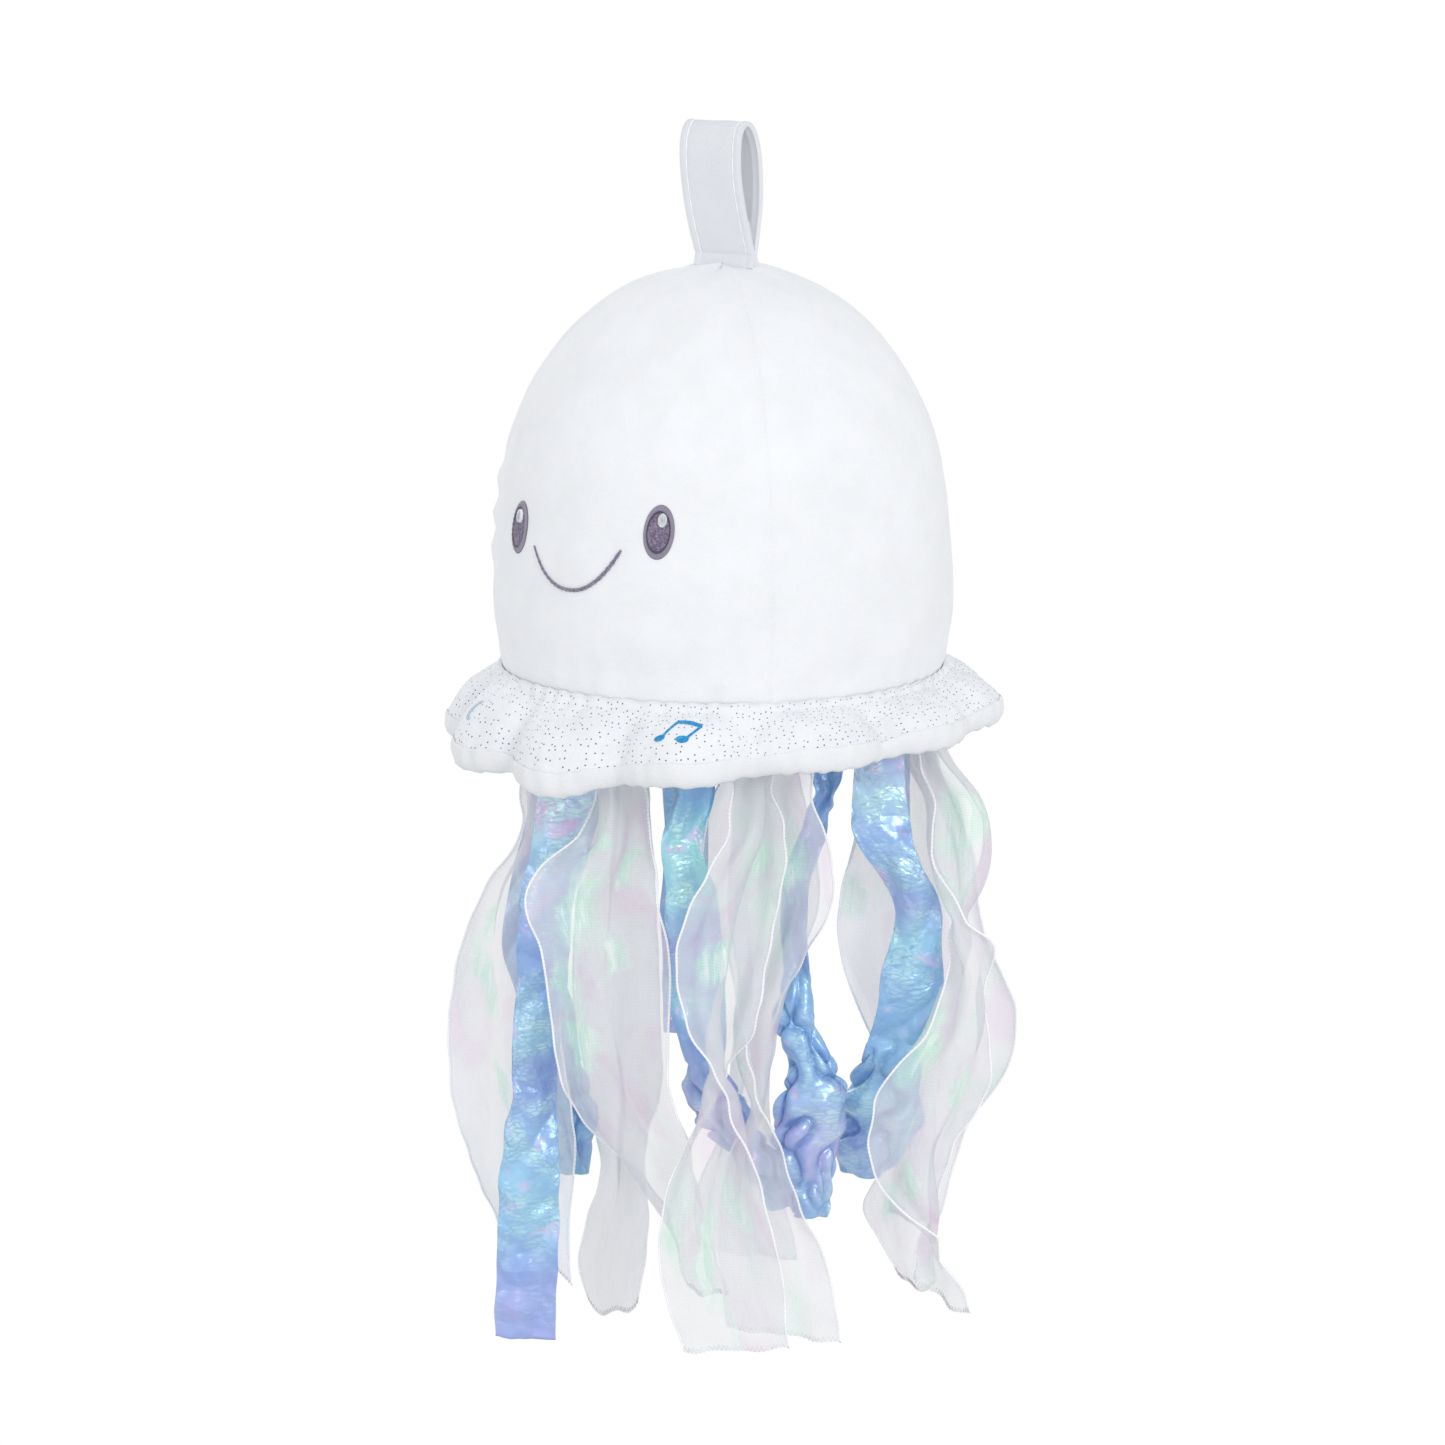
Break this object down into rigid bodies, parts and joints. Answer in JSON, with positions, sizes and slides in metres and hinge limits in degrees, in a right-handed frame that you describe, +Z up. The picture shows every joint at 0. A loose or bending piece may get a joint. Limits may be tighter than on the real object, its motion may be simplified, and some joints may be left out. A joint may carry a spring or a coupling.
{
  "type": "plush jellyfish",
  "caption": "Plush jellyfish that hangs by a fabric loop: stuffed dome head with a smiling face, scalloped glitter collar, and streamers of organza and blue foil cloth.",
  "frame": {"origin": "top of the hanging loop's hole, in the middle of its width, where it rests on what it hangs from", "axes": "+Z up, -Y the way the face looks, +X the viewer's right when the viewer faces the face"},
  "size_m": [0.2034, 0.1951, 0.4333],
  "materials": {
    "white_plush": "short-pile plush",
    "plain_plush": "short-pile plush",
    "glitter_plush": "plush with small foil dots",
    "cotton_band": "woven, topstitched",
    "fibre_fill": "loose polyester fibre",
    "unit_plastic": "matte",
    "dark_thread": "embroidery thread",
    "white_thread": "embroidery thread",
    "blue_print": "flat print",
    "pale_print": "flat print",
    "organza": "sheer, with a pearly sheen",
    "foil_cloth": "crinkled, iridescent foil"
  },
  "bodies": {
    "root": {"head_panel_front": "white_plush", "head_panel_right": "white_plush", "head_panel_back": "white_plush", "head_panel_left": "white_plush", "base_panel": "white_plush", "stuffing": "fibre_fill", "sound_unit": "unit_plastic", "eye_left": "dark_thread", "eye_right": "dark_thread", "smile": "dark_thread", "glint_left": "white_thread", "glint_right": "white_thread", "hanging_loop": "cotton_band", "collar_top": "glitter_plush", "collar_lining": "plain_plush", "music_note": "blue_print", "crescent_mark": "pale_print", "organza_streamer_1": "organza", "organza_streamer_2": "organza", "organza_streamer_3": "organza", "organza_streamer_4": "organza", "organza_streamer_5": "organza", "organza_streamer_6": "organza", "organza_streamer_7": "organza", "organza_streamer_8": "organza", "organza_streamer_9": "organza", "foil_streamer_1": "foil_cloth", "foil_streamer_2": "foil_cloth", "foil_streamer_3": "foil_cloth", "foil_streamer_4": "foil_cloth", "foil_streamer_5": "foil_cloth", "foil_streamer_6": "foil_cloth", "foil_streamer_7": "foil_cloth"}
  },
  "joints": []
}
